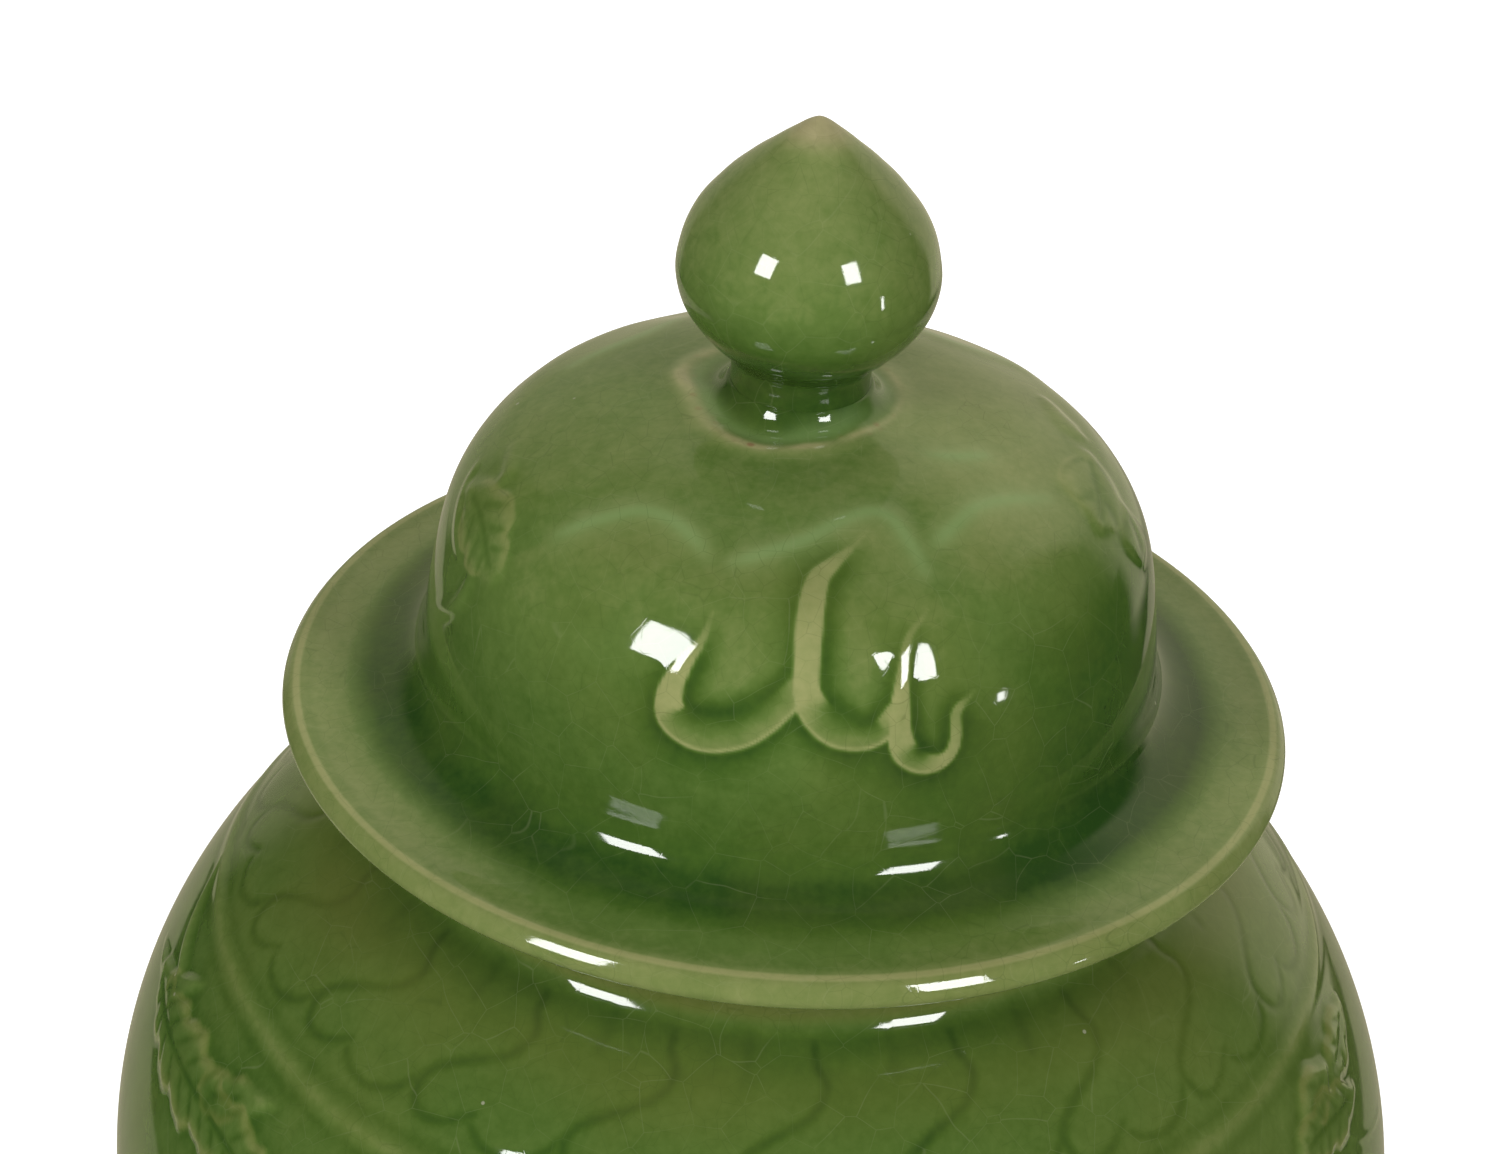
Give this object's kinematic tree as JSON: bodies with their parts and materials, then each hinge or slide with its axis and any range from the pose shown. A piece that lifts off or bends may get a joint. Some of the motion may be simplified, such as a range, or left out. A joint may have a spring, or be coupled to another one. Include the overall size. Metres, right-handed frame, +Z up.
{
  "type": "ginger jar",
  "caption": "Glazed ceramic ginger jar with an ovoid body, a short neck and a lift-off domed lid with a bud-shaped knob and raised scroll and leaf decoration.",
  "frame": {"origin": "centre of the foot ring on the table", "axes": "+Z up along the jar's axis, -Y towards the pictured front, +X to its right"},
  "size_m": [0.2268, 0.2268, 0.3552],
  "materials": {
    "jar_glaze": "gloss green glaze with fine crackle",
    "lid_glaze": "gloss green glaze with fine crackle",
    "thin_glaze": "gloss green glaze, pale where it runs thin over raised work",
    "bare_clay": "matt unglazed clay"
  },
  "bodies": {
    "jar": {"foot_ring": "bare_clay", "jar_body": "jar_glaze", "neck_ring": "jar_glaze", "shoulder_ring": "thin_glaze", "left_leaf_spray": "thin_glaze", "right_leaf_spray": "thin_glaze"},
    "lid": {"lid_shell": "lid_glaze", "lid_flange": "lid_glaze", "finial_stem": "lid_glaze", "finial_bud": "lid_glaze", "cloud_scroll": "thin_glaze", "left_dome_spray": "thin_glaze", "right_dome_spray": "thin_glaze"}
  },
  "joints": [
    {"name": "lid_lift", "type": "slide", "parent": "jar", "child": "lid", "axis": [0, 0, 1], "range_m": [0, 0.16]}
  ]
}
